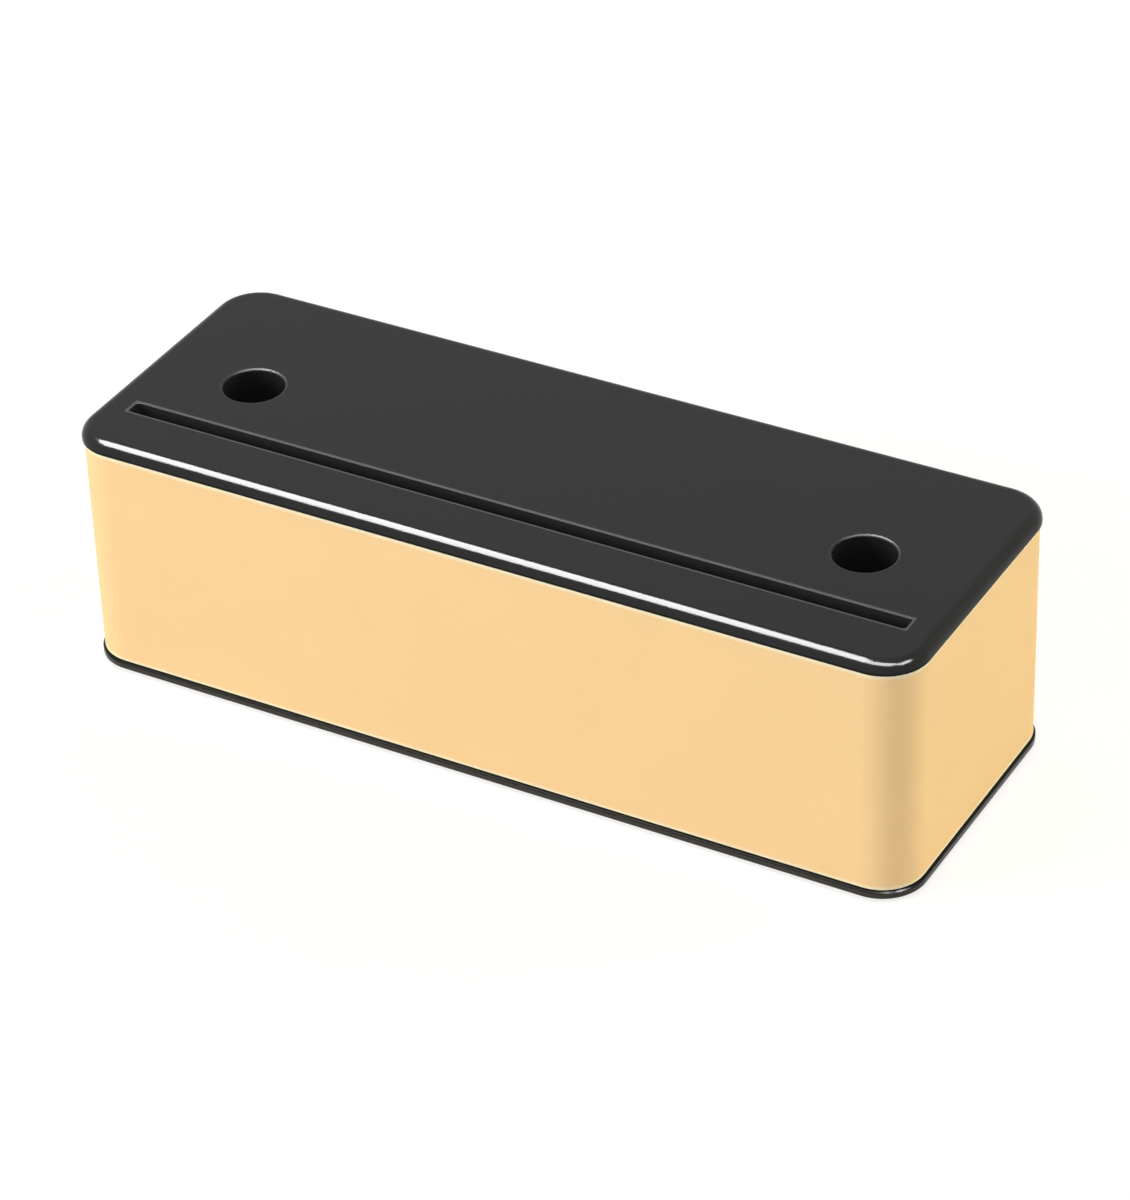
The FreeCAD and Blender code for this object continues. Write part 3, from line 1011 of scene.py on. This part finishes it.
@dataclass
class ScrewSet:
    """Equal pan head screws that point up, with a cross recess and a rolled thread."""

    node: str
    shank_length: float
    head_radius: float = 3.5 * MM
    head_height: float = 2.4 * MM
    head_edge: float = 1.1 * MM
    head_steps: int = 6
    dome: float = 0.25 * MM
    thread_radius: float = 1.75 * MM
    core_radius: float = 1.25 * MM
    pitch: float = 1.3 * MM
    rows_a_turn: int = 8
    plain_neck: float = 0.6 * MM
    run_in: float = 0.8 * MM
    point_length: float = 1.6 * MM
    tip_share: float = 0.45
    crest_share: float = 0.3
    sides: int = 28
    recess_span: float = 4.0 * MM
    recess_width: float = 1.0 * MM
    recess_depth: float = 1.4 * MM
    recess_taper: float = 0.55
    most_turn: float = math.pi / 2

    def thread_ring(self, height: float) -> list[Point]:
        """A ring across the thread.

        Args:
            height: height above the head's underside.

        Returns:
            The ring, which swells where the thread's ridge crosses it.
        """
        start = min(1.0, max(0.0, (height - self.plain_neck) / self.run_in))
        left = max(0.0, min(1.0, (self.shank_length - height) / self.point_length))
        tip = self.tip_share + (1 - self.tip_share) * left
        points = []
        for step in range(self.sides):
            turn = step / self.sides
            phase = (height / self.pitch - turn) % 1.0
            ridge = max(0.0, 1 - abs(phase - 0.5) / self.crest_share) * start * left
            radius = tip * (self.core_radius + ridge * (self.thread_radius - self.core_radius))
            angle = math.tau * turn
            points.append((radius * math.cos(angle), radius * math.sin(angle), height))
        return points

    def blank(self) -> bpy.types.Mesh:
        """Make the screw before its recess is punched.

        Returns:
            Its mesh.
        """
        crown = self.head_radius - self.head_edge
        profile = [(crown * share, self.dome * share ** 2 - self.head_height)
                   for share in (0.5, 1.0)]
        for step in range(1, self.head_steps + 1):
            angle = math.pi / 2 * step / self.head_steps
            fall = self.head_edge * (1 - math.cos(angle))
            profile.append((crown + self.head_edge * math.sin(angle),
                            self.dome - self.head_height + fall))
        profile += [(self.head_radius, 0.0), (self.core_radius, 0.0)]
        rings = [[(0, 0, -self.head_height)]]
        rings += [circle(radius, height, self.sides) for radius, height in profile]
        row = self.pitch / self.rows_a_turn
        height = row
        while height < self.shank_length - row / 2:
            rings.append(self.thread_ring(height))
            height += row
        rings.append([(0, 0, self.shank_length)])
        return mesh_from(self.node + "_blank", *skin(rings))

    def punch(self) -> bpy.types.Mesh:
        """Make the tapered cross that is taken out of the head.

        Returns:
            Its mesh.
        """
        rings = []
        for height, share in ((-self.head_height - self.recess_width, 1.0),
                              (-self.head_height, 1.0),
                              (self.recess_depth - self.head_height, self.recess_taper)):
            long, short = self.recess_span / 2 * share, self.recess_width / 2 * share
            outline = []
            for quarter in range(4):
                turn = Matrix.Rotation(quarter * math.pi / 2, 2)
                for corner in ((long, -short), (long, short), (short, short)):
                    x, y = turn @ Vector(corner)
                    outline.append((x, y, height))
            rings.append(outline)
        return mesh_from(self.node + "_punch", *skin(rings))

    def screw(self) -> bpy.types.Mesh:
        """Make one screw, with the middle of its head's underside at the origin.

        Returns:
            Its mesh.
        """
        holder = add_object(self.node + "_one", self.blank())
        cutter = add_object(self.node + "_cutter", self.punch())
        cut = holder.modifiers.new("recess", "BOOLEAN")
        cut.operation = "DIFFERENCE"
        cut.solver = "EXACT"
        cut.object = cutter
        mesh = take_mesh(holder)
        bpy.data.objects.remove(cutter)
        return crisp(mesh)

    def build(self, zinc: bpy.types.Material) -> bpy.types.Object:
        """Build the set.

        Args:
            zinc: its material.

        Returns:
            The finished piece.
        """
        low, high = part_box(self.node)
        seat = low.z + self.head_height
        places = [(x, y, seat) for x in (low.x + self.head_radius, high.x - self.head_radius)
                  for y in (low.y + self.head_radius, high.y - self.head_radius)]
        mesh = repeat_shape(self.node + "_set", self.screw(), places, zinc, self.most_turn)
        piece = add_object(self.node + "_threaded", mesh)
        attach(piece, ROOT)
        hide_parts(self.node)
        LOG.info("%s, %d screws", piece.name, len(places))
        return piece


@dataclass(frozen=True)
class SoftLamp:
    """Area lamp: one that gives light but shows in no gloss, or a card that shows only there.

    Its level is in watts for each square metre of the lamp.
    """

    name: str
    place: Point
    size: tuple[float, float]
    level: float
    tint: Colour = WHITE
    face: LampFace = LampFace.OBLONG
    card: bool = False

    def build(self, target: Vector) -> None:
        """Put the lamp up.

        Args:
            target: the point that it faces.
        """
        data = bpy.data.lights.new(self.name, "AREA")
        data.shape = self.face.value
        data.size, data.size_y = self.size
        data.energy = self.level * self.size[0] * self.size[1]
        data.color = self.tint
        lamp = add_object(self.name, data)
        lamp.location = self.place
        lamp.rotation_euler = (target - Vector(self.place)).to_track_quat("-Z", "Y").to_euler()
        lamp.visible_camera = False
        lamp.visible_glossy = self.card
        lamp.visible_diffuse = not self.card


@dataclass
class Studio:
    """White air and floor, two soft lamps, three cards overhead and the camera."""

    sky: float = 0.64
    floor_size: float = 6.0
    floor_drop: float = 0.05 * MM
    floor_albedo: float = 0.8
    floor_glow: float = 0.72
    floor_shade: float = 0.35
    lamps: tuple[SoftLamp, ...] = (
        SoftLamp("lamp_front_left", (-1.75, -1.51, 0.75), LAMP_SIZE, 27.0),
        SoftLamp("lamp_right_back", (1.5, 1.6, 0.75), LAMP_SIZE, 20.3, tint=(1.0, 0.94, 0.7)),
    )
    cards: tuple[SoftLamp, ...] = (
        SoftLamp("card_left", (-0.68, -0.28, CARD_HEIGHT), (1.0, 1.3), CARD_LEVEL,
                 face=LampFace.OVAL, card=True),
        SoftLamp("card_front", (0.3, -0.54, CARD_HEIGHT), (1.1, 0.62), CARD_LEVEL, card=True),
        SoftLamp("card_right", (1.15, -0.1, CARD_HEIGHT), (0.6, 0.8), CARD_LEVEL, card=True),
    )
    aim: Vector = field(default_factory=lambda: Vector((3.6, -1.74, 36.15)) * MM)
    azimuth: float = math.radians(30.19)
    elevation: float = math.radians(34.21)
    roll: float = math.radians(-2.058)
    distance: float = 1.38515
    photo_focal: float = 3080.7
    zoom: float = 1.5
    frame_height: float = 1200.0
    sensor: float = 36.0
    near: float = 0.05
    far: float = 50.0

    def build_world(self) -> None:
        """Make air that looks white and that lights what it meets more weakly."""
        world = bpy.data.worlds.new("studio_air")
        bpy.context.scene.world = world
        world.use_nodes = True
        tree = world.node_tree
        tree.nodes.clear()
        shown = tree.nodes.new("ShaderNodeBackground")
        lamp = tree.nodes.new("ShaderNodeBackground")
        shown.inputs["Strength"].default_value = 1.0
        lamp.inputs["Strength"].default_value = self.sky
        for shader in (shown, lamp):
            shader.inputs["Color"].default_value = (*WHITE, 1)
        mix = tree.nodes.new("ShaderNodeMixShader")
        output = tree.nodes.new("ShaderNodeOutputWorld")
        tree.links.new(self.seen_directly(tree), mix.inputs[0])
        tree.links.new(lamp.outputs[0], mix.inputs[1])
        tree.links.new(shown.outputs[0], mix.inputs[2])
        tree.links.new(mix.outputs[0], output.inputs["Surface"])

    @staticmethod
    def seen_directly(tree: bpy.types.NodeTree) -> bpy.types.NodeSocket:
        """Tell the rays that see a surface from those that only carry its light.

        Args:
            tree: the node tree.

        Returns:
            An output that is 1 for camera, glossy and transmission rays.
        """
        path = tree.nodes.new("ShaderNodeLightPath")
        total = path.outputs["Is Camera Ray"]
        for name in ("Is Glossy Ray", "Is Transmission Ray"):
            either = tree.nodes.new("ShaderNodeMath")
            either.operation = "MAXIMUM"
            tree.links.new(total, either.inputs[0])
            tree.links.new(path.outputs[name], either.inputs[1])
            total = either.outputs[0]
        return total

    def build_floor(self) -> None:
        """Make a pale floor that looks white and keeps the riser's shadow."""
        half, level = self.floor_size / 2, -self.floor_drop
        mesh = bpy.data.meshes.new("studio_floor")
        corners = [(x, y, level) for x, y in ((-half, -half), (half, -half), (half, half),
                                              (-half, half))]
        mesh.from_pydata(corners, [], [(0, 1, 2, 3)])
        floor = add_object("studio_floor", mesh)
        sheet = MaterialSheet("studio_paper")
        bounce = sheet.add("ShaderNodeBsdfDiffuse", Color=(*[self.floor_albedo] * 3, 1))
        shade = sheet.add("ShaderNodeBsdfDiffuse", Color=(*[self.floor_shade] * 3, 1))
        glow = sheet.add("ShaderNodeEmission", Strength=self.floor_glow)
        seen = sheet.add("ShaderNodeAddShader")
        mix = sheet.add("ShaderNodeMixShader")
        sheet.join(shade.outputs[0], seen.inputs[0])
        sheet.join(glow.outputs[0], seen.inputs[1])
        sheet.join(self.seen_directly(sheet.tree), mix.inputs[0])
        sheet.join(bounce.outputs[0], mix.inputs[1])
        sheet.join(seen.outputs[0], mix.inputs[2])
        sheet.join(mix.outputs[0], sheet.output.inputs["Surface"])
        mesh.materials.append(sheet.material)

    def build_lamps(self) -> None:
        """Put up the lamps, which face the riser, and the cards, which face straight down."""
        for lamp in self.lamps:
            lamp.build(self.aim)
        for card in self.cards:
            card.build(Vector((*card.place[:2], 0)))

    def build_camera(self) -> None:
        """Set the camera at the photograph's angle, with the riser filling the frame."""
        data = bpy.data.cameras.new("camera")
        camera = add_object("camera", data)
        bpy.context.scene.camera = camera
        flat = math.cos(self.elevation)
        back = Vector((math.sin(self.azimuth) * flat, -math.cos(self.azimuth) * flat,
                       math.sin(self.elevation)))
        turn = (-back).to_track_quat("-Z", "Y").to_matrix() @ Matrix.Rotation(self.roll, 3, "Z")
        camera.location = self.aim + back * self.distance
        camera.rotation_euler = turn.to_euler()
        data.sensor_width = self.sensor
        data.lens = self.photo_focal * self.zoom * self.sensor / self.frame_height
        data.clip_start, data.clip_end = self.near, self.far

    def build(self) -> None:
        """Set up the whole studio."""
        bpy.context.scene.view_settings.view_transform = "Standard"
        self.build_world()
        self.build_floor()
        self.build_lamps()
        self.build_camera()
        LOG.info("studio is set")


def main() -> None:
    """Load the frame, dress it and light it."""
    logging.basicConfig(level=logging.INFO, format="%(message)s")
    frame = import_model()

    cap_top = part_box("top_cap")[1].z
    body_low, body_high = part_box("riser_body")
    cap = CapPlastic("cap_charcoal", linear(42, 42, 42), roughness=0.15, specular=0.1,
                     top=cap_top, foot=body_high.z).build()
    body = BodyPlastic("body_tan", linear(250, 213, 156), roughness=0.6, specular=0.03,
                       foot=body_low.z, top=body_high.z).build()
    base = BasePlastic("base_charcoal", linear(62, 59, 54), roughness=0.18, specular=0.1,
                       ledge=body_low.z).build()
    rubber = PadRubber().build()
    zinc = ZincSteel().build()

    MouldedNode("top_cap", Slot.CAP).dress(frame, cap)
    MouldedNode("riser_body", Slot.BODY).dress(frame, body)
    MouldedNode("base_plate", Slot.BASE).dress(frame, base)
    for node in sorted(frame["nodes"]):
        if node.startswith("foot_pad"):
            FootPad(node).build(rubber)
    ScrewSet("cap_screws", shank_length=11 * MM).build(zinc)
    ScrewSet("base_screws", shank_length=16 * MM).build(zinc)

    Studio().build()


if __name__ == "__main__":
    main()
